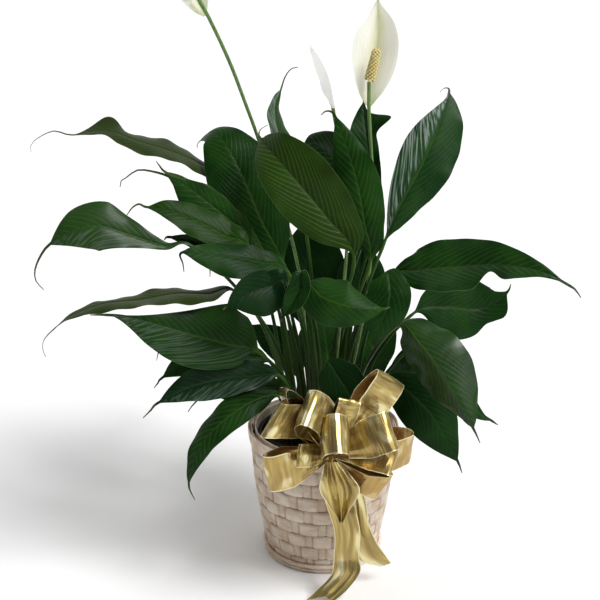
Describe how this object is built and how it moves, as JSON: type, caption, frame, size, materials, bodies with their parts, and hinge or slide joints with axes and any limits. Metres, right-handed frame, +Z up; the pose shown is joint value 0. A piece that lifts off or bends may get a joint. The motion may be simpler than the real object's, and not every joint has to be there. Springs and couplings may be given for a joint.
{
  "type": "potted houseplant",
  "caption": "Peace lily with broad pointed leaves and white hooded blooms, in a whitewashed woven basket tied with a gold ribbon bow.",
  "frame": {"origin": "middle of the basket's base, on the surface it stands on", "axes": "+Z up, -Y towards the viewer, where the bow is tied, +X to the viewer's right"},
  "size_m": [0.5971, 0.4714, 0.7271],
  "materials": {
    "leaf": "waxy green leaf with a paler underside",
    "stalk": "smooth pale green stalk",
    "spathe": "satin cream white with a green midrib",
    "spadix": "matt cream yellow, knobbly",
    "chip_wood": "whitewashed rough chip wood",
    "withy": "whitewashed round withy",
    "pot_plastic": "thin black plastic",
    "soil": "dark crumbly potting soil",
    "ribbon": "crinkled metallic gold film",
    "tie_wire": "green painted wire"
  },
  "bodies": {
    "root": {"leaf_centre_big": "leaf", "leaf_left_upright": "leaf", "leaf_right_upright": "leaf", "leaf_back_centre": "leaf", "leaf_back_right": "leaf", "leaf_back_spike": "leaf", "leaf_right_high": "leaf", "leaf_right_long": "leaf", "leaf_right_back": "leaf", "leaf_right_droop": "leaf", "leaf_right_low": "leaf", "leaf_right_tip": "leaf", "leaf_left_high": "leaf", "leaf_left_second": "leaf", "leaf_left_behind": "leaf", "leaf_left_third": "leaf", "leaf_left_small": "leaf", "leaf_left_large": "leaf", "leaf_left_broad": "leaf", "leaf_left_long": "leaf", "leaf_left_wide": "leaf", "leaf_left_spike": "leaf", "leaf_left_blue": "leaf", "leaf_left_under": "leaf", "leaf_left_droop": "leaf", "leaf_front": "leaf", "leaf_right_hang": "leaf", "leaf_left_short": "leaf", "leaf_centre_curl": "leaf", "leaf_bow": "leaf", "leaf_inner_left": "leaf", "leaf_inner_right": "leaf", "leaf_inner_low": "leaf", "leaf_inner_side": "leaf", "leaf_rear_left": "leaf", "leaf_rear_right": "leaf", "leaf_rear_low": "leaf", "leaf_rear_side": "leaf", "bloom_main_stalk": "stalk", "bloom_main_spathe": "spathe", "bloom_main_spadix": "spadix", "bloom_side_stalk": "stalk", "bloom_side_spathe": "spathe", "bloom_side_spadix": "spadix", "bloom_tall_stalk": "stalk", "bloom_tall_spathe": "spathe", "bloom_tall_spadix": "spadix", "basket_weave": "chip_wood", "basket_rim_outer": "chip_wood", "basket_rim_inner": "chip_wood", "basket_hoop_low": "withy", "basket_hoop_high": "withy", "grow_pot": "pot_plastic", "soil": "soil", "bow_loops": "ribbon", "bow_tail_front": "ribbon", "bow_tail_long": "ribbon", "bow_tail_short": "ribbon", "bow_wire": "tie_wire"}
  },
  "joints": []
}
